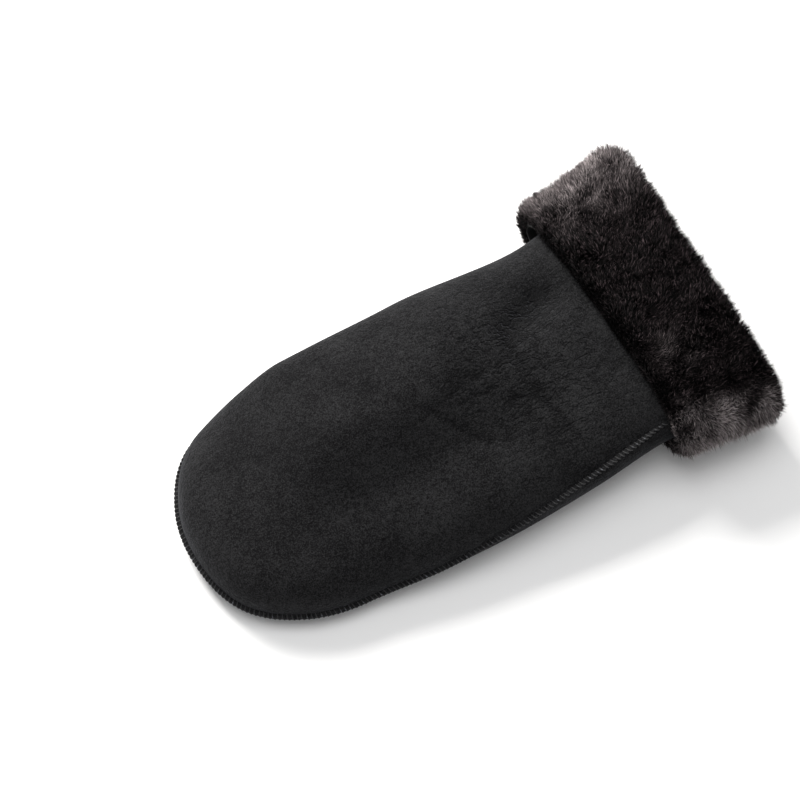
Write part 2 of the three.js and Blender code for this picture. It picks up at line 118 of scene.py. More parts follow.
# The leather
# Three panels of sheepskin are cut flat and sewn edge to edge, suede outside: one over the back of
# the hand, one for the upper palm with the inner half of the thumb, one for the rest of the thumb
# and the lower palm. The skin is 1.8 mm thick and lies in soft folds.
HAND_LENGTH, PALM_WIDTH, PALM_THICKNESS = 272, 126, 38
THUMB_REACH, THUMB_WIDTH, THUMB_THICKNESS, THUMB_CLEARANCE = 62, 47, 22, 1.2
THUMB_INSET, THUMB_TURN, THUMB_FREE_SHARE = 7, -3, 0.44
LEATHER, GAP, CUFF_DEPTH = 1.8, 0.3, 49
RIDGE_HEIGHT, RIDGE_WIDTH, RIDGE_FADE = 2.0, 3.6, 18
HALF = PALM_WIDTH / 2
CUFF_EDGE = HAND_LENGTH - CUFF_DEPTH
CROTCH = HAND_LENGTH / 2
THUMB_SETBACK = CROTCH - THUMB_REACH
THUMB_RUN = THUMB_REACH / THUMB_FREE_SHARE
# The palm rises to the thumb over this run and between these shares of its half width, and its
# crown is lifted less by that share.
RISE_RUN, RISE_ACROSS, CROWN_SETTLES = 2 * THUMB_THICKNESS, (-0.42, 0.2), 0.35
# Where the middle of the fingertip seam lies in the frame, and how far the cutting solids run.
PLACE = np.array([-143.189, -1.472, 0])
BEYOND, FAR = 40, 250

# Seam outline as rays from the spine, from the mouth along the little-finger side and back along
# the thumb side: at (share of the length), angle, reach (share of the half width), height of the
# widest line (share of the thickness) and seam (degrees above that line). From the sixth row on,
# the rays fan out round the tip. The two powers shape the section above and below its widest line.
HAND = SimpleNamespace(
    edge=np.array(
        [
            (1.0, -90, 1.12, 0.7, 24),
            (0.82, -90, 1.02, 0.67, 24),
            (0.66, -90, 1.03, 0.5, 20),
            (0.5, -90, 1.02, 0.37, 12),
            (0.36, -90, 0.965, 0.29, 4),
            (0.21, -90, 0.86, 0.24, 0),
            (0.21, -60, 0.855, 0.22, 0),
            (0.21, -30, 0.905, 0.21, 0),
            (0.21, 0, 0.92, 0.21, 0),
            (0.21, 30, 0.985, 0.23, 0),
            (0.21, 60, 1.05, 0.26, -6),
            (0.21, 90, 1.0, 0.29, -20),
            (0.36, 90, 0.975, 0.33, -32),
            (0.5, 90, 0.95, 0.37, -34),
            (0.66, 90, 0.945, 0.5, -34),
            (0.82, 90, 0.98, 0.7, -30),
            (1.0, 90, 1.17, 0.8, -30),
        ]
    ),
    # at, crown, under
    spine=np.array(
        [
            (0.21, 0.88, -0.06),
            (0.36, 1.0, -0.05),
            (0.5, 1.07, 0.065),
            (0.66, 1.12, 0.16),
            (0.82, 1.17, 0.28),
            (1.0, 1.17, 0.28),
        ]
    ),
    length=HAND_LENGTH,
    half=HALF,
    thick=PALM_THICKNESS,
    start=(0, 0),
    turn=0,
    powers=(2.5, 2.3),
)
# The thumb by the same columns, from the end of its root in the wrist round its tip and back. It lies
# under the palm, a little in from the edge of the hand and turned off its length.
THUMB = SimpleNamespace(
    edge=np.array(
        [
            (1.0, -90, 1.0, 1.1, 0),
            (0.75, -90, 1.12, 0.75, 0),
            (0.5, -90, 1.08, 0.52, 0),
            (0.3, -90, 1.0, 0.46, 0),
            (0.15, -90, 0.86, 0.44, 0),
            (0.15, -45, 0.93, 0.43, 0),
            (0.15, 0, 0.83, 0.42, 0),
            (0.15, 45, 0.95, 0.43, 0),
            (0.15, 90, 0.88, 0.44, 0),
            (0.3, 90, 0.96, 0.46, 0),
            (0.5, 90, 0.94, 0.52, 0),
            (0.75, 90, 0.76, 0.75, 0),
            (1.0, 90, 0.6, 1.1, 0),
        ]
    ),
    spine=np.array(
        [
            (0.15, 0.92, -0.1),
            (0.3, 0.99, -0.1),
            (0.42, 1.08, -0.09),
            (0.5, 1.5, -0.08),
            (0.62, 1.9, 0),
            (0.8, 1.6, 0.2),
            (1.0, 1.3, 0.66),
        ]
    ),
    length=THUMB_RUN,
    half=THUMB_WIDTH / 2,
    thick=THUMB_THICKNESS,
    start=(THUMB_SETBACK, HALF - THUMB_INSET - THUMB_WIDTH / 2),
    turn=math.radians(THUMB_TURN),
    powers=(2.2, 2.4),
)
# Soft dents and swells of the back: at, across, long, wide, turn, rise.
BACK_FORMS = [
    (0.76, 0.42, 0.5, 0.19, 24, -0.12),
    (0.62, 0.1, 0.55, 0.2, 12, -0.07),
    (0.76, 0.02, 0.36, 0.28, 10, 0.06),
    (0.5, 0.55, 0.6, 0.25, 4, 0.05),
]
# Thin creases that fan out from where the back bends at the wrist, in millimetres: x, y, long, wide,
# turn, depth.
CREASES = [
    (205, 28, 15, 6.0, 13, 0.9),
    (186, 21, 13, 6.0, 27, 1.0),
    (175, 11, 9, 4.0, 70, 0.8),
    (164, 10, 14, 1.4, 0, 0.6),
    (158, 20, 14, 1.6, 12, 0.4),
    (142, 0, 17, 1.4, 7, 0.6),
    (138, 6, 14, 1.4, -9, 0.45),
    (150, -6, 15, 1.4, -1, 0.5),
    (166, 0, 9, 1.4, 32, 0.5),
    (164, -15, 14, 1.4, -18, 0.55),
    (175, -3, 8, 1.5, -85, 0.6),
    (176, -20, 11, 1.6, -82, 0.6),
    (179, -39, 12, 1.6, -82, 0.5),
    (169, -36, 13, 1.5, -76, 0.45),
    (186, -14, 10, 1.4, -60, 0.45),
    (123, -2, 12, 1.6, -48, 0.55),
    (135, -17, 12, 1.7, -54, 0.65),
    (150, -29, 11, 1.6, -23, 0.6),
]
# The seam across the palm: across, in half widths, and along, in free lengths of the thumb past its root.
CROSS_SEAM = np.array(
    [(2, 0.44), (1, 0.4), (0.55, 0.2), (0.2, 0.12), (-0.4, 0.14), (-1, 0.2), (-2, 0.22)]
)
PALM_SEAM_FROM, PALM_SEAM_TO = -0.95 * HALF, THUMB.start[1] - THUMB.half
# The row of the hand's outline where the rays begin to fan out.
TIP_ROW, TIP_AT = 5, HAND.edge[5, 0]
# How a section's angle gathers its rows towards the crown and the underside, and how much a bump bows.
GATHER, BOW = 1.25, 0.12


def cubic(at, values, where):
    """A smooth curve through rows: cubic between two, its slopes taken across their neighbours."""
    k = np.arange(len(at))
    low, high = np.maximum(k - 1, 0), np.minimum(k + 1, len(at) - 1)
    slope = (values[high] - values[low]) / (at[high] - at[low])
    i = np.clip(np.searchsorted(at, where, side="right") - 1, 0, len(at) - 2)
    span = at[i + 1] - at[i]
    t = np.clip((where - at[i]) / span, 0, 1)
    swing = t * t * (3 - 2 * t)
    return (
        values[i] * (1 - swing)
        + values[i + 1] * swing
        + span * t * (1 - t) * (slope[i] * (1 - t) - slope[i + 1] * t)
    )


def smooth(value, low, high):
    """0 below low, 1 above high, and an even S between."""
    t = np.clip((value - low) / (high - low), 0, 1)
    return t * t * (3 - 2 * t)


def ripple(points, length, seed, waves=22):
    """Soft noise about -1 to 1: plane waves of 0.6 to 1.4 times that length's pitch, seeded in turn and
    phase, added and divided by the root of their number."""
    rng = np.random.default_rng(seed)
    turn = rng.normal(size=(waves, 3))
    turn /= np.linalg.norm(turn, axis=1)[:, None]
    turn *= (2 * math.pi / length) * rng.uniform(0.6, 1.4, (waves, 1))
    phase = rng.uniform(0, 2 * math.pi, waves)
    total = np.zeros(points.shape[:-1])
    for direction, start in zip(turn, phase):
        total += np.sin(points @ direction + start)
    return total / math.sqrt(waves)


def cross_seam(y):
    """Where the seam across the palm lies along the hand, at a distance across it."""
    rows = -CROSS_SEAM[:, 0] * HALF
    return CROTCH + cubic(rows, CROSS_SEAM[:, 1], -y) * THUMB_REACH


def thumb_lift(x, y):
    """How much the thumb under the palm lifts a point: an S along the hand times one across it."""
    before = smooth(x, THUMB_SETBACK - RISE_RUN, THUMB_SETBACK + 0.1 * RISE_RUN)
    behind = 1 - smooth(x, CROTCH, CUFF_EDGE)
    across = smooth(y / HALF, *RISE_ACROSS)
    return (THUMB_THICKNESS + THUMB_CLEARANCE) * before * behind * across


def mound(x, y, form, unit, depth):
    """A long soft bump or dent, a little bowed: its rise times a bell along it and a bell across it."""
    at_x, at_y, long, wide, turn, rise = form
    turn = math.radians(turn)
    dx, dy = x - at_x, y - at_y
    a = (dx * math.cos(turn) + dy * math.sin(turn)) / (long * unit)
    b = (dy * math.cos(turn) - dx * math.sin(turn) - BOW * a * a * wide * unit) / (wide * unit)
    return rise * depth * np.exp(-a * a - b * b)


def creases(x, y):
    """How deep the thin creases of the back are at a point: their bells added up."""
    return sum(mound(x, y, form, 1, 1) for form in CREASES)


def back_forms(x, y):
    """Dents, swells and creases of the back, added up and faded out where the cuff lies on it."""
    total = -creases(x, y)
    for at, across, *rest in BACK_FORMS:
        total += mound(x, y, (at * HAND_LENGTH, across * HALF, *rest), HALF, PALM_THICKNESS)
    return total * (1 - smooth(x, CUFF_EDGE - RIDGE_FADE, CUFF_EDGE))


def rays_at(form, i):
    """The rays at positions i along the outline table, each value as a column."""
    k = np.arange(len(form.edge))
    i = np.asarray(i, float)[:, None]
    at = np.interp(i, k, form.edge[:, 0])
    spine = form.spine
    return SimpleNamespace(
        at=at,
        angle=np.radians(np.interp(i, k, form.edge[:, 1])),
        reach=cubic(k, form.edge[:, 2], i) * form.half,
        height=cubic(k, form.edge[:, 3], i) * form.thick,
        seam=np.radians(cubic(k, form.edge[:, 4], i)),
        crown=cubic(spine[:, 0], spine[:, 1], at) * form.thick,
        under=cubic(spine[:, 0], spine[:, 2], at) * form.thick,
        shift=np.zeros_like(at),
    )


def all_rays(form, each, past=0):
    """Rays from mouth to mouth, each per row of the table; past moves the mouth out or in."""
    last = len(form.edge) - 1
    i = np.linspace(0, last, last * each + 1)
    if past > 0:
        i = np.concatenate([[0], i, [last]])
    rays = rays_at(form, i)
    rays.shift[[0, -1]] = past
    return rays


def skin_point(form, ray, phi, offset):
    """Points of a soft lens: a superellipse section on each ray, lifted, pressed and creased, and
    never below the floor. phi is 90 degrees at the crown, which the thumb lifts least, and -90 at
    the underside."""
    top = phi >= 0
    power = np.where(top, form.powers[0], form.powers[1])
    rise = np.where(top, ray.crown - ray.height, ray.height - ray.under)
    out = (ray.reach + offset) * np.maximum(np.cos(phi), 0) ** (2 / power)
    up = np.sign(phi) * (rise + offset) * np.abs(np.sin(phi)) ** (2 / power)
    along = ray.at * form.length + ray.shift - np.cos(ray.angle) * out
    across = np.sin(ray.angle) * out
    x = form.start[0] + along * math.cos(form.turn) - across * math.sin(form.turn)
    y = form.start[1] + along * math.sin(form.turn) + across * math.cos(form.turn)
    z = ray.height + up
    if form is HAND:
        over = np.maximum(np.sin(phi), 0)
        z = z + thumb_lift(x, y) * (1 - CROWN_SETTLES * over) + back_forms(x, y) * over**2
    return np.stack(np.broadcast_arrays(x, y, np.maximum(z, np.maximum(-offset, 0))), -1)


def angle_at(share):
    """The section angle at a share from the widest line (0) to the crown (1) or underside (-1)."""
    return np.sign(share) * (1 - (1 - np.abs(share)) ** GATHER) * math.pi / 2


def share_at(phi):
    """The share at a section angle: angle_at turned round."""
    return np.sign(phi) * (1 - (1 - np.abs(phi) / (math.pi / 2)) ** (1 / GATHER))


# The rise of a sewn edge over its half width, from its foot to its middle: across, height.
RIDGE_ROWS = np.array([(1, 0), (0.86, 0.3), (0.66, 0.75), (0.42, 1), (0.16, 1)])


def section_angles(ray, rows, ridged):
    """Section angles for each ray: even rows down to the seam, the sewn edge, and on to the underside."""
    k = np.arange(rows) / rows
    foot = RIDGE_WIDTH / 2 / ray.reach if ridged else 0
    down = 1 + (share_at(ray.seam + foot) - 1) * k
    up = -1 + (share_at(ray.seam - foot) + 1) * k[::-1]
    if not ridged:
        return np.hstack([angle_at(down), ray.seam, angle_at(up)]), None
    over = np.concatenate([RIDGE_ROWS[:, 0], -RIDGE_ROWS[::-1, 0]])
    height = np.concatenate([RIDGE_ROWS[:, 1], RIDGE_ROWS[::-1, 1]])
    rise = np.concatenate([np.zeros(rows), height, np.zeros(rows)])
    return np.hstack([angle_at(down), ray.seam + foot * over, angle_at(up)]), rise


def solid(name, points, faces):
    """A mesh object from points in millimetres from the fingertip and faces of equal size."""
    mesh = bpy.data.meshes.new(name)
    points = points.reshape(-1, 3) + PLACE
    mesh.vertices.add(len(points))
    mesh.vertices.foreach_set("co", (points * MM).ravel())
    mesh.loops.add(faces.size)
    mesh.loops.foreach_set("vertex_index", faces.ravel().astype(np.int32))
    mesh.polygons.add(len(faces))
    starts = np.arange(0, faces.size, faces.shape[1], dtype=np.int32)
    mesh.polygons.foreach_set("loop_start", starts)
    mesh.polygons.foreach_set("use_smooth", np.ones(len(faces), bool))
    mesh.update(calc_edges=True)
    made = bpy.data.objects.new(name, mesh)
    bpy.context.collection.objects.link(made)
    return made


def tidy(made, apart=0.002):
    """Merges points that many millimetres apart or less, drops empty faces and turns all outwards."""
    work = bmesh.new()
    work.from_mesh(made.data)
    bmesh.ops.remove_doubles(work, verts=work.verts, dist=apart * MM)
    bmesh.ops.dissolve_degenerate(work, edges=work.edges, dist=apart * MM / 2)
    bmesh.ops.recalc_face_normals(work, faces=work.faces)
    if work.calc_volume(signed=True) < 0:
        bmesh.ops.reverse_faces(work, faces=work.faces)
    work.to_mesh(made.data)
    work.free()
    return made


def grid_faces(rows, columns, wrap_rows=False, wrap_columns=False):
    """Quads of a grid of points stored row after row."""
    i, j = np.meshgrid(
        np.arange(rows - (not wrap_rows)), np.arange(columns - (not wrap_columns)), indexing="ij"
    )
    i, j = i.ravel(), j.ravel()
    a, b = i * columns + j, i * columns + (j + 1) % columns
    far = (i + 1) % rows * columns
    return np.stack([a, far + j, far + (j + 1) % columns, b], -1)


def capped_faces(rows, columns):
    """Quads of a grid whose last row is joined back to its first."""
    first = np.arange(columns - 1)
    last = (rows - 1) * columns + first
    cap = np.stack([last, first, first + 1, last + 1], -1)
    return np.vstack([grid_faces(rows, columns), cap])


def lens(name, form, offset=0, past=0, each=10, rows=20, ridged=False):
    """A whole soft form as one closed solid: its section grid, with the mouth closed straight across.
    It has each rays per row of the outline and rows points from the seam to the crown or underside."""
    rays = all_rays(form, each, past)
    phi, rise = section_angles(rays, rows, ridged)
    points = skin_point(form, rays, phi, offset)
    if ridged:
        x, y = points[..., 0], points[..., 1]
        fade = 1 - smooth(x, CUFF_EDGE - RIDGE_FADE, CUFF_EDGE - GAP)
        if form is THUMB:
            fade = 1 - smooth(x, cross_seam(y) - 2 * RIDGE_WIDTH, cross_seam(y) - RIDGE_WIDTH)
        raised = skin_point(form, rays, phi, offset + RIDGE_HEIGHT)
        points = points + (raised - points) * (rise * fade)[..., None]
    return tidy(solid(name, points, capped_faces(*phi.shape)))


def bar(name, *edges):
    """A closed bar between four long edges, each given by its x, y and z."""
    corners = np.stack([np.stack(edge, -1) for edge in edges], 1)
    count = len(corners)
    ends = np.array([[0, 1, 2, 3], [4 * count - 1, 4 * count - 2, 4 * count - 3, 4 * count - 4]])
    return tidy(solid(name, corners, np.vstack([grid_faces(count, 4, False, True), ends])))


def carve(base, tool, how):
    """base joined with tool, cut by it, or kept only inside it, as a new object; the tool goes."""
    step = base.modifiers.new("carve", "BOOLEAN")
    step.object, step.operation, step.solver = tool, how, "MANIFOLD"
    graph = bpy.context.evaluated_depsgraph_get()
    mesh = bpy.data.meshes.new_from_object(base.evaluated_get(graph))
    base.modifiers.clear()
    made = bpy.data.objects.new(base.name, mesh)
    bpy.context.collection.objects.link(made)
    drop(tool)
    return made


def drop(*tools):
    """Removes helper objects with their meshes."""
    for tool in tools:
        mesh = tool.data
        bpy.data.objects.remove(tool)
        bpy.data.meshes.remove(mesh)


def seam_side(side, each=12):
    """All space above the seam (1) or below it (-1): halfway up over the spine, out through the seam."""
    rays = all_rays(HAND, each, BEYOND)
    crown, seam, under = (
        skin_point(HAND, rays, np.ones_like(rays.at) * phi, 0)[:, 0]
        for phi in (math.pi / 2, rays.seam, -math.pi / 2)
    )
    away = (seam - crown) * (1, 1, 0)
    away /= np.linalg.norm(away, axis=1)[:, None]
    centre = crown.copy()
    centre[:, 2] = (crown[:, 2] + under[:, 2]) / 2
    near = np.stack([centre, seam, seam + away * 4 * RIDGE_WIDTH], 1)
    near[..., 2] += side * GAP / 4
    distant = near[:, ::-1].copy()
    distant[..., 2] = FAR * side
    points = np.hstack([near, distant])
    return tidy(solid("side", points, capped_faces(*points.shape[:2])))


def thumb_space(grow, steps=60):
    """Space of the thumb panel: below the thumb's seam, and all on the wrist side of the cross seam."""
    rows = THUMB.edge[:5][::-1]
    low = THUMB_SETBACK - 2 * RIDGE_HEIGHT
    x = np.linspace(low, cross_seam(np.array(float(FAR))) + RIDGE_WIDTH, steps)
    top = cubic(THUMB_SETBACK + rows[:, 0] * THUMB_RUN, rows[:, 3], x) * THUMB_THICKNESS + grow
    beside = THUMB.start[1] - 1.5 * THUMB.half
    down, near, away = (np.full_like(x, value) for value in (-FAR, beside, FAR))
    below = bar("below", (x, near, down), (x, away, down), (x, away, top), (x, near, top))
    y = np.linspace(-FAR, FAR, 4 * steps)
    x = cross_seam(y) - grow
    ends = (HAND_LENGTH + 1.5 * BEYOND, -FAR - 1, FAR + 1)
    out, low, high = (np.full_like(y, value) for value in ends)
    wrist = bar("wrist", (x, y, low), (out, y, low), (out, y, high), (x, y, high))
    both = carve(below, wrist, "UNION")
    drop(below)
    return both


def station_rays(side, x):
    """Rays straight across at distances x along the hand, on the little-finger (0) or thumb side (1)."""
    edge = HAND.edge
    share = np.clip(np.asarray(x, float) / HAND_LENGTH, TIP_AT + 1e-4, 1)
    i = np.interp(share, edge[TIP_ROW::-1, 0], np.arange(TIP_ROW, -1, -1))
    return rays_at(HAND, np.where(side == 0, i, len(edge) - 1 - i))


def underside(x, y):
    """Height of the palm's outer surface from below, from the section that a point lies on."""
    side = np.where(y < 0, 0, 1)
    rays = station_rays(side, x)
    phi = -np.arccos(np.clip(np.abs(y) / rays.reach[:, 0], 0, 1) ** (HAND.powers[1] / 2))
    return skin_point(HAND, rays, phi[:, None], 0)[:, 0, 2]


def cross_ridge(steps=60):
    """The sewn edges across the palm, a low bar along its underside up to the thumb's root."""
    y = np.linspace(PALM_SEAM_FROM, PALM_SEAM_TO, steps)
    x, z = cross_seam(y), underside(cross_seam(y), y)
    foot, face, sunk = RIDGE_WIDTH / 2, 0.7 * RIDGE_WIDTH / 2, LEATHER / 2
    sides = [(-foot, sunk), (-face, -RIDGE_HEIGHT), (face, -RIDGE_HEIGHT), (foot, sunk)]
    return bar("cross", *((x + dx, y, np.maximum(z + dz, 0)) for dx, dz in sides))


# Hand and thumb are joined with the bar across the palm and hollowed by the same forms a wall's
# thickness inside; then the shell is parted into the three panels along its seams.
outer_hand = lens("hand", HAND, past=-LEATHER - GAP, each=26, rows=62, ridged=True)
outer_thumb = lens("thumb", THUMB, each=16, rows=28, ridged=True)
inner_hand = lens("hollow", HAND, offset=-LEATHER, past=BEYOND, each=12, rows=24)
inner_thumb = lens("hollow_thumb", THUMB, offset=-LEATHER, each=8, rows=14)
outer = carve(outer_hand, outer_thumb, "UNION")
whole = carve(outer, cross_ridge(), "UNION")
inner = carve(inner_hand, inner_thumb, "UNION")
shell = carve(whole, inner, "DIFFERENCE")
back_panel = carve(shell, seam_side(1), "INTERSECT")
under_panels = carve(shell, seam_side(-1), "INTERSECT")
thumb_panel = carve(under_panels, thumb_space(-GAP / 4), "INTERSECT")
palm_panel = carve(under_panels, thumb_space(GAP / 4), "DIFFERENCE")
drop(outer_hand, outer, whole, inner_hand, shell, under_panels)


def attribute(made, name, values):
    """Stores one number for each vertex under a name, for the material to read."""
    made.data.attributes.new(name, "FLOAT", "POINT").data.foreach_set(
        "value", np.asarray(values, np.float32).ravel()
    )


def node(tree, kind, values=None, links=None, **settings):
    """Adds one shader node with its settings, its socket values and the sockets that feed it."""
    made = tree.nodes.new("ShaderNode" + kind)
    for name, value in settings.items():
        setattr(made, name, value)
    for name, value in (values or {}).items():
        made.inputs[name].default_value = value
    for name, source in (links or {}).items():
        tree.links.new(source, made.inputs[name])
    return made


# Sheepskin suede, dyed black and buffed: a short nap that drinks the light, with a soft grey sheen
# where it is seen at a slant, clouds where the nap was stroked, and a few pale fibres on it.
suede, tree, surface = finish(
    "buffed_suede",
    "#161617",
    rough=0.95,
    Specular_IOR_Level=0.15,
    Sheen_Weight=0.09,
    Sheen_Roughness=0.4,
    Sheen_Tint=linear("#c9ccd8"),
)
place = node(tree, "TexCoord").outputs["Object"]
# Fibres, nap, grain of the skin and stroked clouds: size in millimetres, detail, roughness. A real
# fibre is far too fine to show, so the fibres are drawn as flecks of 0.6 mm.
fluff, nap, grain, clouds = (
    node(
        tree,
        "TexNoise",
        {"Scale": 1 / (size * MM), "Detail": detail, "Roughness": rough},
        {"Vector": place},
    ).outputs["Fac"]
    for size, detail, rough in ((0.62, 1, 0.6), (1.3, 3, 0.75), (3.2, 3, 0.6), (26, 4, 0.6))
)

# Fine creases gather where the back bends at the wrist: thin lines where a stretched noise passes
# its middle value, strongest about one point and faint elsewhere. Places and distances in metres.
BEND_AT, BEND_NEAR, BEND_FAR = (0.03, -0.004, 0.04), 0.015, 0.07
FOLD_PITCH, FOLD_LINE, FOLD_TURN, FOLD_SHORT = 7 * MM, 0.06, math.radians(8), 0.6
slanted = node(
    tree,
    "Mapping",
    {"Rotation": (0, 0, FOLD_TURN), "Scale": (FOLD_SHORT, 1, 1)},
    {"Vector": place},
).outputs["Vector"]
folds = node(
    tree,
    "TexNoise",
    {"Scale": 1 / FOLD_PITCH, "Detail": 3, "Roughness": 0.6, "Distortion": 0.25},
    {"Vector": slanted},
).outputs["Fac"]
off_middle = node(tree, "Math", {1: 0.5}, {0: folds}, operation="SUBTRACT").outputs[0]
off_middle = node(tree, "Math", links={0: off_middle}, operation="ABSOLUTE").outputs[0]
line = node(
    tree,
    "MapRange",
    {"From Min": 0, "From Max": FOLD_LINE, "To Min": 1, "To Max": 0},
    {"Value": off_middle},
    interpolation_type="SMOOTHSTEP",
).outputs["Result"]
from_bend = node(tree, "VectorMath", {1: BEND_AT}, {0: place}, operation="DISTANCE").outputs["Value"]
near_bend = node(
    tree,
    "MapRange",
    {"From Min": BEND_NEAR, "From Max": BEND_FAR, "To Min": 1, "To Max": 0.15},
    {"Value": from_bend},
    interpolation_type="SMOOTHSTEP",
).outputs["Result"]
pressed_and_shaded = node(tree, "Attribute", attribute_name="pressed_and_shaded").outputs["Fac"]
gathered = node(tree, "Math", {1: 0.9}, {0: pressed_and_shaded, 2: near_bend}, operation="MULTIPLY_ADD").outputs[0]
# The crease lines darken the colour as painted shade and lower the relief.
crease = node(tree, "Math", links={0: line, 1: gathered}, operation="MULTIPLY").outputs[0]
broken = node(tree, "Math", links={0: pressed_and_shaded, 1: grain}, operation="MULTIPLY").outputs[0]

# Colour and relief are weighted sums of the patterns; creases and pressed folds make both lower: the
# relief sinks, and the colour darkens as nap pressed flat and as painted shade in the creases.
mixed = node(tree, "Math", {1: 0.2}, {0: clouds}, operation="MULTIPLY").outputs[0]
for weight, pattern in ((0.28, nap), (0.46, fluff), (0.12, grain), (-0.045, crease), (-0.12, broken)):
    mixed = node(tree, "Math", {1: weight}, {0: pattern, 2: mixed}, operation="MULTIPLY_ADD").outputs[0]
tones = node(tree, "ValToRGB", links={"Fac": mixed})
for stop, position, colour in zip(tones.color_ramp.elements, (0.455, 0.64), ("#030304", "#272728")):
    stop.position, stop.color = position, linear(colour)
tree.links.new(tones.outputs["Color"], surface.inputs["Base Color"])
relief = node(tree, "Math", {1: 0.6}, {0: nap}, operation="MULTIPLY").outputs[0]
for weight, pattern in ((0.9, grain), (-0.42, crease)):
    relief = node(tree, "Math", {1: weight}, {0: pattern, 2: relief}, operation="MULTIPLY_ADD").outputs[0]
NAP_DEPTH = 0.8 * MM
bump = node(tree, "Bump", {"Strength": 1, "Distance": NAP_DEPTH}, {"Height": relief})
tree.links.new(bump.outputs["Normal"], surface.inputs["Normal"])

# Edges that bend more than this stay sharp.
SHARP = math.radians(50)
for panel, name in ((back_panel, "back_panel"), (palm_panel, "palm_panel"), (thumb_panel, "thumb_panel")):
    panel.name = "suede_" + name
    panel.data.materials.clear()
    panel.data.materials.append(suede)
    panel.data.set_sharp_from_angle(angle=SHARP)
    spots = np.empty(3 * len(panel.data.vertices))
    panel.data.vertices.foreach_get("co", spots)
    x, y, _ = (spots.reshape(-1, 3) / MM - PLACE).T
    # Crease depth of the back: the suede is darker there as nap pressed flat and as painted shade.
    attribute(panel, "pressed_and_shaded", creases(x, y) * (panel is back_panel))
    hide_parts(name)
    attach(panel, "root")

# The seam
# The panels are whipped together over their edges with waxed thread: one slanting stitch after
# another runs over the sewn edge, from the back of it to the front, 2.3 mm apart.
STITCH, THREAD, SIDES = 2.3, 0.28, 6
# How far a stitch reaches across the sewn edge, in half widths of it, and how much of the pitch it
# slants along it on each side of its middle.
STITCH_END, STITCH_SLANT = 1.15, 0.62
OVER = np.linspace(-STITCH_END, STITCH_END, 9)
# Where a highlight is painted into the thread's colour, in the same half widths, and over how much of its
# run.
GLINT_AT, GLINT_SPREAD = 0.62, 0.025
# How far the thread stops before the cuff and starts inside the side seam, and where the thumb's
# seam starts and ends in the thumb's outline table.
CUFF_SHY, SIDE_SHY, THUMB_SEAM = 2, 0.03 * HALF, (2.25, 9.9)
# Waxed black thread, laid and drawn tight, smoother than the suede. A small grey highlight is painted
# into its colour at the top of each stitch, on some stitches more than on others.
waxed_thread, tree, surface = finish("waxed_thread", "#19191b", rough=0.6, Sheen_Weight=0.08)
# shade is how far each point of a stitch is painted towards the grey highlight.
shade = node(tree, "Attribute", attribute_name="shade")
tones = node(tree, "ValToRGB", links={"Fac": shade.outputs["Fac"]})
for stop, position, colour in zip(tones.color_ramp.elements, (0.3, 1), ("#1b1b1d", "#6e7078")):
    stop.position, stop.color = position, linear(colour)
tree.links.new(tones.outputs["Color"], surface.inputs["Base Color"])


def tubes(name, paths):
    """Closed six-sided tubes along many paths at once, thinner at both ends: a ring of points about
    each station, square to the path. paths is stitches by stations by three."""
    count, stations, _ = paths.shape
    along = np.gradient(paths, axis=1)
    along /= np.linalg.norm(along, axis=2)[..., None]
    # No stitch runs in this direction.
    side = np.cross(along, (0.3, 0.2, 0.93))
    side /= np.linalg.norm(side, axis=2)[..., None]
    up = np.cross(side, along)
    turn = np.arange(SIDES) * 2 * math.pi / SIDES
    ring = side[:, :, None] * np.cos(turn)[:, None] + up[:, :, None] * np.sin(turn)[:, None]
    girth = THREAD * np.sqrt(1 - np.linspace(-0.97, 0.97, stations) ** 4)
    points = paths[:, :, None] + ring * girth[None, :, None, None]
    first = np.array([[0, 1, 2, 3], [0, 3, 4, 5]])
    last = (stations - 1) * SIDES + first[:, ::-1]
    one = np.vstack([grid_faces(stations, SIDES, False, True), first, last])
    every = (np.arange(count) * stations * SIDES)[:, None, None] + one
    return solid(name, points, every.reshape(-1, 4))


def even_positions(form, start, end, steps=3000):
    """Positions along the outline table one stitch apart on the seam, and how fast they change there."""
    dense = np.linspace(start, end, steps)
    rays = rays_at(form, dense)
    seam = skin_point(form, rays, rays.seam, RIDGE_HEIGHT)[:, 0]
    walked = np.concatenate([[0], np.cumsum(np.linalg.norm(np.diff(seam, axis=0), axis=1))])
    count = int(walked[-1] / STITCH)
    middles = (np.arange(count) + 0.5) * walked[-1] / count
    return np.interp(middles, walked, dense), np.interp(middles, walked, np.gradient(dense, walked))


def stitches(form, start, end, seed):
    """Paths over the sewn edge: across it by section angle, slanting along it, over its top."""
    rng = np.random.default_rng(seed)
    position, per_mm = even_positions(form, start, end)
    slant = STITCH * (STITCH_SLANT + 0.1 * rng.normal(size=(len(position), 1)))
    i = position[:, None] + slant * per_mm[:, None] * OVER / STITCH_END
    rays = rays_at(form, i.ravel())
    foot = RIDGE_WIDTH / 2 / rays.reach
    over = np.tile(OVER, len(i))[:, None]
    # The rows of the sewn edge between a point just inside the leather beside it and its top.
    rows = np.concatenate([[(1.2, -0.25)], RIDGE_ROWS, [(0, 1)]])[::-1]
    fade = 1 - smooth(rays.at * form.length, CUFF_EDGE - RIDGE_FADE, CUFF_EDGE - GAP) * (form is HAND)
    lift = np.interp(np.abs(over), rows[:, 0], rows[:, 1]) * RIDGE_HEIGHT * fade + THREAD * 0.2
    return skin_point(form, rays, rays.seam + foot * over, lift)[:, 0].reshape(*i.shape, 3)


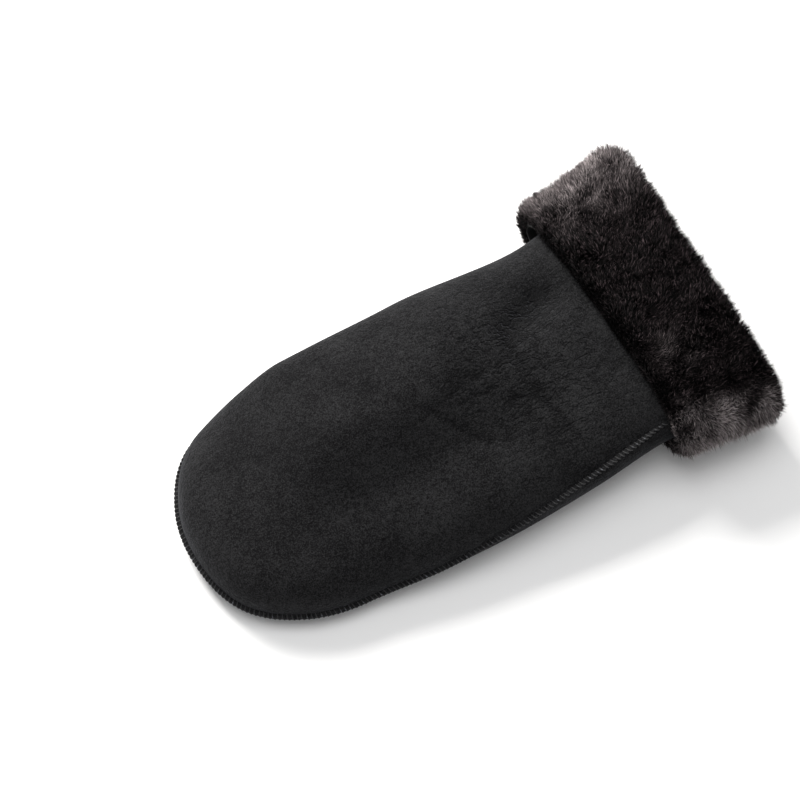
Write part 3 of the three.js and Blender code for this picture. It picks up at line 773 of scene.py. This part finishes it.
def palm_stitches(start, end):
    """Paths over the bar across the palm: down one side of it, along its face and up the other."""
    count = int((end - start) / STITCH)
    y = start + (np.arange(count) + 0.5)[:, None] * STITCH + STITCH * STITCH_SLANT * OVER / STITCH_END
    y = y.ravel()
    over = np.tile(OVER, count)
    sink = np.interp(np.abs(over), (0.7, 1.05, STITCH_END), (RIDGE_HEIGHT + THREAD * 0.4, 0.1, -0.4))
    x = cross_seam(y) + over * RIDGE_WIDTH / 2
    z = np.maximum(underside(cross_seam(y), y) - sink, THREAD)
    return np.stack([x, y, z], -1).reshape(count, len(OVER), 3)


# The hand's seam runs from the cuff round the tip and back to the cuff.
last_row = len(HAND.edge) - 1
side_rows = np.arange(TIP_ROW, -1, -1)
to_cuff = np.interp(CUFF_EDGE - CUFF_SHY, HAND.edge[side_rows, 0] * HAND_LENGTH, side_rows)
for name, paths in (
    ("thread_of_hand", stitches(HAND, to_cuff, last_row - to_cuff, seed=5)),
    ("thread_of_thumb", stitches(THUMB, *THUMB_SEAM, seed=6)),
    ("thread_of_palm", palm_stitches(PALM_SEAM_FROM + SIDE_SHY, PALM_SEAM_TO)),
):
    thread = tubes(name, paths)
    # A random paleness for each stitch's painted highlight.
    paleness = np.random.default_rng(7).random((len(paths), 1))
    glint = np.exp(-((OVER - GLINT_AT) ** 2) / GLINT_SPREAD)
    attribute(thread, "shade", np.repeat((0.3 + 0.7 * paleness**3) * glint, SIDES))
    thread.data.materials.append(waxed_thread)
    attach(thread, "root")

# The turned skin
# At the wrist the skin is folded back on itself, suede side in; its cut free edge shows as a dark
# line between the hand and the wool.
CUFF_STAND, CUFF_EASE, FOLD_SWELL, FOLD_SKEW = 6, 0.7, 0.4, 0.75
FOLD_BAND, FOLD_ROUND = LEATHER + GAP, 0.6 * LEATHER
PANEL_END = HAND_LENGTH - FOLD_BAND
CUFF_OUTSIDE = CUFF_EASE + LEATHER
WOOL_INSIDE = CUFF_OUTSIDE + GAP


def wrist_point(x, offset, turn):
    """A point round the wrist: turn runs 0 to 1 from the crown down the little-finger side and up
    the thumb side, where the cuff's free edge stands off a little. Past the fold it swells."""
    turn = np.mod(turn, 1)
    thumb_side = turn >= 0.5
    share = np.where(thumb_side, 4 * turn - 3, 1 - 4 * turn)
    phi = angle_at(share)
    rays = station_rays(np.where(thumb_side, 1, 0).ravel(), np.broadcast_to(x, turn.shape).ravel())
    offset = np.broadcast_to(offset, turn.shape).ravel()[:, None]
    points = skin_point(HAND, rays, phi.ravel()[:, None], offset)[:, 0].reshape(*turn.shape, 3)
    stand = CUFF_STAND * (1 - smooth(x, CUFF_EDGE, PANEL_END)) * np.cos(phi) ** 2
    uneven = FOLD_SWELL * np.cos(2 * phi) + FOLD_SKEW * np.where(thumb_side, 1, -1) * np.cos(phi)
    points[..., 0] = x + np.maximum(x - HAND_LENGTH - GAP, 0) * uneven
    points[..., 1] += np.where(thumb_side, stand, 0)
    return points


def band(name, profile, around):
    """A closed band round the wrist from a closed profile of stations and offsets."""
    profile = np.array(profile, float)
    turn = np.arange(around) / around
    x, turn = np.meshgrid(profile[:, 0], turn, indexing="ij")
    offset = np.broadcast_to(profile[:, 1:], x.shape)
    points = wrist_point(x, offset, turn)
    return tidy(solid(name, points, grid_faces(len(profile), around, True, True)))


# The skin's cut edge: bare split leather, matte, a little darker than the nap.
cut_skin = finish("cut_skin_edge", "#121212", rough=0.85)[0]
# station, offset
turned_section = [
    (CUFF_EDGE, CUFF_EASE),
    (PANEL_END + GAP, CUFF_EASE),
    (PANEL_END + GAP, -LEATHER),
    (HAND_LENGTH, -FOLD_ROUND),
    (HAND_LENGTH, CUFF_OUTSIDE - FOLD_ROUND),
    (HAND_LENGTH - LEATHER * 0.8, CUFF_OUTSIDE),
    ((CUFF_EDGE + HAND_LENGTH) / 2, CUFF_OUTSIDE),
    (CUFF_EDGE, CUFF_OUTSIDE),
]
turned = band("turned_skin", turned_section, around=192)
turned.data.materials.append(cut_skin)
turned.data.set_sharp_from_angle(angle=SHARP)
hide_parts("cuff_skin")
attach(turned, "root")

# The wool
# The skin's own fleece, clipped to about 10 mm: brown-black tufts that lean every way. A softer
# grey-brown is painted at the two ends of the cuff as the light that catches the strands there. A dark
# body fills the depth of the pile, its darkness painted shade, and tapering strands stand on it.
CUFF_PILE, LINE_PILE = 10.6, 6.5
PILE_BODY = 0.42 * CUFF_PILE
STRAND, STRAND_WIDTH = CUFF_PILE - PILE_BODY, 0.27
MOUTH = -LEATHER - LINE_PILE
# Dyed sheep's wool, soft and nearly without shine. A real fibre is 0.03 mm thick, so each strand
# stands for a few dozen that cling together. Roots are dark, because little light gets down there.
wool, tree, surface = finish("brown_black_fleece", "#191516", rough=0.6, Specular_IOR_Level=0.06)
tip, tone, pale_light = (
    node(tree, "Attribute", attribute_name=name).outputs["Fac"] for name in ("tip", "tone", "pale_light")
)
# Two coats by tone: the dark wool with its painted glints, and a pale lit copy of it. Their mix paints
# the light on the ends of the cuff.
coats = []
for low, high in (("#010101", "#75676a"), ("#131112", "#ddd2d2")):
    ramp = node(tree, "ValToRGB", links={"Fac": tone})
    for stop, colour in zip(ramp.color_ramp.elements, (low, high)):
        stop.color = linear(colour)
    coats.append(ramp.outputs["Color"])
coat = node(tree, "Mix", links={"Factor": pale_light, "A": coats[0], "B": coats[1]}, data_type="RGBA")
# Painted shade: each strand darkens towards its root.
deep = node(
    tree,
    "MapRange",
    {"From Min": 0.3, "From Max": 1, "To Min": 0.06, "To Max": 1},
    {"Value": tip},
)
shaded = node(
    tree,
    "Mix",
    {"Factor": 1},
    {"A": coat.outputs["Result"], "B": deep.outputs["Result"]},
    data_type="RGBA",
    blend_type="MULTIPLY",
)
tree.links.new(shaded.outputs["Result"], surface.inputs["Base Color"])

# The surface of the body, from the cuff's free edge over its face and fold into the mouth: station,
# offset.
PILE_LINE = np.array(
    [
        (CUFF_EDGE - 0.06 * PILE_BODY, WOOL_INSIDE + 0.1 * PILE_BODY),
        (CUFF_EDGE - 0.15 * PILE_BODY, WOOL_INSIDE + 0.5 * PILE_BODY),
        (CUFF_EDGE - 0.03 * PILE_BODY, WOOL_INSIDE + 0.88 * PILE_BODY),
        (CUFF_EDGE + 0.1 * CUFF_DEPTH, WOOL_INSIDE + PILE_BODY),
        (CUFF_EDGE + 0.5 * CUFF_DEPTH, WOOL_INSIDE + PILE_BODY),
        (CUFF_EDGE + 0.84 * CUFF_DEPTH, WOOL_INSIDE + PILE_BODY),
        (HAND_LENGTH + 0.2 * PILE_BODY, WOOL_INSIDE + 0.9 * PILE_BODY),
        (HAND_LENGTH + 0.85 * PILE_BODY, WOOL_INSIDE + 0.4 * PILE_BODY),
        (HAND_LENGTH + 0.95 * PILE_BODY, 0.3 * MOUTH),
        (HAND_LENGTH + 0.55 * PILE_BODY, 0.8 * MOUTH),
        (HAND_LENGTH + GAP, MOUTH),
    ]
)


def on_pile(along, turn):
    """A point of the body's surface: along runs 0 to 1 over its line, turn round the wrist."""
    walked = np.concatenate([[0], np.cumsum(np.linalg.norm(np.diff(PILE_LINE, axis=0), axis=1))])
    share = walked / walked[-1]
    where = np.clip(along, 0, 1)
    x, offset = cubic(share, PILE_LINE[:, 0], where), cubic(share, PILE_LINE[:, 1], where)
    return wrist_point(x, offset, turn)


def tufts(points, size, seed, lattice=32):
    """Each point's tuft: the nearest of one random place in every cube of a lattice, and its number."""
    table = np.random.default_rng(seed).random((lattice, lattice, lattice, 4))
    cell = np.floor(points / size).astype(int)
    nearest = np.full(len(points), np.inf)
    centre, number = np.zeros_like(points), np.zeros(len(points))
    for step in np.ndindex(3, 3, 3):
        near = cell + np.array(step) - 1
        pick = table[tuple((near % lattice).T)]
        place = (near + pick[:, :3]) * size
        apart = ((place - points) ** 2).sum(1)
        closer = apart < nearest
        nearest[closer], centre[closer], number[closer] = apart[closer], place[closer], pick[closer, 3]
    return centre, number


def rooted(surface_at, spans, count, seed, rows=48, columns=200):
    """Roots spread evenly by area over a surface of two parameters, with the normal at each: cells of
    a grid are drawn by their area, and each root lies anywhere in its cell."""
    rng = np.random.default_rng(seed)
    (a0, a1), (b0, b1) = spans
    a, b = np.meshgrid(np.linspace(a0, a1, rows + 1), np.linspace(b0, b1, columns + 1), indexing="ij")
    points = surface_at(a, b)
    down, right = points[1:, :-1] - points[:-1, :-1], points[:-1, 1:] - points[:-1, :-1]
    area = np.linalg.norm(np.cross(down, right), axis=2).ravel()
    cells = rng.choice(area.size, count, p=area / area.sum())
    row, column = np.divmod(cells, columns)
    a = a0 + (row + rng.random(count)) / rows * (a1 - a0)
    b = b0 + (column + rng.random(count)) / columns * (b1 - b0)
    step_a, step_b = (a1 - a0) * 1e-3, (b1 - b0) * 1e-3
    along = surface_at(np.minimum(a + step_a, a1), b) - surface_at(np.maximum(a - step_a, a0), b)
    round_it = surface_at(a, b + step_b) - surface_at(a, b - step_b)
    normal = np.cross(round_it, along)
    normal /= np.linalg.norm(normal, axis=1)[:, None] + 1e-12
    return surface_at(a, b), normal


# Tufts, the locks in them and the slow waves of the coat are this wide. A strand leans with the
# waves, by itself, and towards the middle of its tuft and of its lock.
TUFT, LOCK, WAVE = 4.2, 1.7, 17
WAVE_LEAN, LOOSE_LEAN, TUFT_PULL, LOCK_PULL = 0.26, 0.2, 0.16, 0.45
# How much its length differs with its tuft and by itself, how many strands stand out and how far,
# how long one is at the hem, and how much longer at the thumb end of the fold.
TUFT_REACH, LOOSE_REACH, STRAY_SHARE, STRAY_REACH = 0.24, 0.13, 0.04, 1.25
HEM_REACH, FOLD_REACH = 0.7, 0.32
# The hem is clipped this far in front of the cuff's edge, more or less.
HEM_CLIP, HEM_UNEVEN = 1.4, 0.4


def strand_tips(roots, normals, length, tuft, lock, floor, rng):
    """Where each strand ends, and its reach: out along its leaning normal, shorter near the hem, where
    it is clipped straight, longer at the thumb end of the fold, and never below floor."""
    count = len(roots)
    (centre, number), (small, _) = tuft, lock
    lean = np.stack([ripple(roots, WAVE, 21 + k) for k in range(3)], -1) * WAVE_LEAN
    lean += rng.normal(size=(count, 3)) * LOOSE_LEAN
    pull = (centre - roots) * TUFT_PULL + (small - roots) * LOCK_PULL
    pull -= normals * (pull * normals).sum(1)[:, None]
    reach = length * (0.9 + TUFT_REACH * (number - 0.5) + LOOSE_REACH * rng.normal(size=count))
    reach *= np.where(rng.random(count) < STRAY_SHARE, STRAY_REACH, 1)
    reach *= HEM_REACH + (1 - HEM_REACH) * smooth(roots[:, 0], CUFF_EDGE - 1, CUFF_EDGE + 5)
    at_fold = smooth(roots[:, 0], HAND_LENGTH - 4, HAND_LENGTH + 4)
    reach *= 1 + FOLD_REACH * at_fold * np.clip(roots[:, 1] / HALF, -1, 1)
    heading = normals + lean
    heading /= np.linalg.norm(heading, axis=1)[:, None]
    tips = roots + heading * reach[:, None] + pull
    tips[:, 2] = np.maximum(tips[:, 2], floor)
    at_hem = (roots[:, 0] > CUFF_EDGE - 3) & (roots[:, 0] < CUFF_EDGE + 6)
    clipped = np.maximum(tips[:, 0], CUFF_EDGE - HEM_CLIP + HEM_UNEVEN * rng.normal(size=count))
    tips[:, 0] = np.where(at_hem, clipped, tips[:, 0])
    return tips, reach


# The faces of a strand: its root's ring is 0 to 2 and its tip 3, or the knee's ring 3 to 5 and its
# tip 6. The knee lies this far along and up to KNEE_BEND of the strand's length to one side.
STRAIGHT = [(0, 2, 1), (0, 1, 3), (1, 2, 3), (2, 0, 3)]
KNEED = [(0, 2, 1), (3, 4, 6), (4, 5, 6), (5, 3, 6), (0, 1, 4), (0, 4, 3), (1, 2, 5), (1, 5, 4)]
KNEED += [(2, 0, 3), (2, 3, 5)]
KNEE_AT, KNEE_BEND, KNEE_GIRTH = 0.55, 0.16, 0.75
FLOOR_CLEAR = 0.02


def strands(name, roots, tips, reach, width, bends, rng):
    """Closed three-sided strands that taper to a point, as one mesh, with the share of the way to the
    tip stored at each of a strand's points."""
    count = len(roots)
    axis = tips - roots
    side = np.cross(axis, rng.normal(size=(count, 3)))
    side /= np.linalg.norm(side, axis=1)[:, None]
    other = np.cross(axis, side)
    other /= np.linalg.norm(other, axis=1)[:, None]
    turn = np.arange(3) * 2 * math.pi / 3
    ring = side[:, None] * np.cos(turn)[:, None] + other[:, None] * np.sin(turn)[:, None]
    girth = width * rng.uniform(0.7, 1.3, (count, 1, 1))
    rings, shares = [roots[:, None] + ring * girth], [0, 0, 0]
    if bends:
        aside = side * reach[:, None] * rng.uniform(-KNEE_BEND, KNEE_BEND, (count, 1))
        knee = roots + axis * KNEE_AT + aside
        rings.append(knee[:, None] + ring * girth * KNEE_GIRTH)
        shares += [KNEE_AT] * 3
    points = np.concatenate([*rings, tips[:, None]], 1)
    points[..., 2] = np.maximum(points[..., 2], FLOOR_CLEAR)
    each = points.shape[1]
    every = (np.arange(count) * each)[:, None, None] + np.array(KNEED if bends else STRAIGHT)
    made = solid(name, points, every.reshape(-1, 3))
    attribute(made, "tip", np.tile([*shares, 1], count))
    return made, each


# What soft patches, tufts, locks and painted glints add to a strand's tone, how pale the painted light
# makes the little-finger end and the thumb end, and how pale one spot is.
PATCH_TONE, TUFT_TONE, LOCK_TONE, GLINT_TONE = 0.13, 0.05, 0.06, 0.9
LITTLE_PALE, THUMB_PALE, SPOT_PALE = 2, 0.68, 0.5
# The pale spot, as its distance from the hem and across, and its size squared.
SPOT_FROM_HEM, SPOT_ACROSS, SPOT_SPREAD = 14, -0.58 * HALF, 90
# What is left of tone and pale light at the hem, where painted shade darkens the wool by the cuff's free
# edge.
HEM_TONE = 0.3


def strand_tones(roots, tuft_number, lock_number, rng):
    """Tone and pale light of each strand. The tone has soft patches, a shade of its tuft and lock, and a
    few painted glints. The pale light is painted at both ends of the cuff, where light catches the
    strands, and on one pale spot; both fade at the hem into painted shade."""
    count = len(roots)
    x, y, _ = roots.T
    from_hem = x - CUFF_EDGE
    # Painted shade: the wool darkens towards the hem, along the cuff's free edge.
    past_hem = HEM_TONE + (1 - HEM_TONE) * smooth(from_hem, -2, 7)
    patch = ripple(roots, 26, 31) * 0.16 + ripple(roots, 9, 32) * 0.12
    glint = rng.random(count) ** 9
    own = TUFT_TONE * (tuft_number - 0.5) + LOCK_TONE * (lock_number - 0.5)
    shade = PATCH_TONE * patch + own + GLINT_TONE * glint
    # Painted light: the little-finger end and the thumb end are paled as if lit, and one spot is paler,
    # all by where the root lies.
    little = smooth(-y - 0.2 * from_hem, 0.84 * HALF, 1.08 * HALF)
    little *= 1 - 0.75 * smooth(from_hem, 36, 52)
    end = LITTLE_PALE * little + THUMB_PALE * smooth(y, 0.5 * HALF, 1.25 * HALF)
    paleness = np.exp(-((from_hem - SPOT_FROM_HEM) ** 2 + (y - SPOT_ACROSS) ** 2) / SPOT_SPREAD)
    end = (end + SPOT_PALE * paleness) * (0.8 + 0.4 * ripple(roots, 12, 33)) * past_hem
    shade = shade * past_hem + (0.05 + 0.95 * rng.random(count) ** 2.2) * end
    return np.clip(shade, 0, 1), np.clip(end, 0, 1)


def dress_in_wool(made):
    """Gives a piece the fleece's material and slot."""
    made.data.materials.clear()
    made.data.materials.append(wool)
    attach(made, "root")


def fleece(name, roots, normals, length, width, seed, bends=False, floor=0.15):
    """A coat of strands on its roots; bends adds a knee with a curl to each."""
    rng = np.random.default_rng(seed)
    tuft, lock = tufts(roots, TUFT, seed=11), tufts(roots, LOCK, seed=12)
    tips, reach = strand_tips(roots, normals, length, tuft, lock, floor, rng)
    made, each = strands(name, roots, tips, reach, width, bends, rng)
    tone, pale_light = strand_tones(roots, tuft[1], lock[1], rng)
    attribute(made, "pale_light", np.repeat(pale_light, each))
    attribute(made, "tone", np.repeat(tone, each))
    dress_in_wool(made)


def plain_coat(made):
    """Gives a body of wool the strands' three attributes, as deep and dark as their roots: painted shade.
    """
    count = len(made.data.vertices)
    for name, value in (("tip", 0.1), ("tone", 0.2), ("pale_light", 0)):
        attribute(made, name, np.full(count, value))
    dress_in_wool(made)


inside = [(HAND_LENGTH + GAP, WOOL_INSIDE), (CUFF_EDGE + 0.15 * PILE_BODY, WOOL_INSIDE)]
cuff_body = band("wool_body", [*PILE_LINE, *inside], around=160)
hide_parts("cuff_wool")
plain_coat(cuff_body)

# name, where along the line and round the wrist, how many strands, how long, with a knee, seed
for name, spans, count, longer, bends, seed in (
    ("wool_over_back", ((0, 0.66), (-0.27, 0.27)), 46000, 1, False, 14),
    ("wool_under_palm", ((0, 0.66), (0.27, 0.73)), 34000, 1, False, 15),
    ("wool_round_mouth", ((0.66, 1), (0, 1)), 34000, 1, False, 16),
    ("long_locks", ((0, 0.8), (0, 1)), 17000, 1.12, True, 10),
):
    roots, normals = rooted(on_pile, spans, count, seed)
    fleece(name, roots, normals, STRAND * longer, STRAND_WIDTH, seed, bends)

# The lining
# The same fleece inside the hand and thumb, pressed shorter. Only what the mouth shows of it has
# strands; the rest is a soft body round the hollow.
THUMB_PILE = 4.5
INNER_STRAND, INNER_WIDTH = 2.6, 0.34
lining_out = -LEATHER - GAP
hollow_hand = lens("hollow", HAND, offset=MOUTH, past=BEYOND, each=8, rows=16)
hollow_thumb = lens("hollow_thumb", THUMB, offset=-LEATHER - THUMB_PILE, each=6, rows=12)
full_hand = lens("lining", HAND, offset=lining_out, each=12, rows=24)
full_thumb = lens("lining_thumb", THUMB, offset=lining_out, each=8, rows=14)
full = carve(full_hand, full_thumb, "UNION")
holed = carve(full, hollow_hand, "DIFFERENCE")
lining = carve(holed, hollow_thumb, "DIFFERENCE")
drop(full_hand, full, holed)
lining.name = "lining_body"
tidy(lining)
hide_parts("wool_lining")
plain_coat(lining)


def on_lining(along, turn):
    """A point just under the lining's inner surface: along runs 0 at the mouth to 1 at the knuckles."""
    return wrist_point(HAND_LENGTH - along * 0.5 * HAND_LENGTH, np.full_like(along, MOUTH + 0.6), turn)


roots, normals = rooted(on_lining, ((0, 0.32), (0, 1)), 18000, seed=3)
fleece("wool_inside", roots, normals, INNER_STRAND, INNER_WIDTH, seed=3, floor=5)
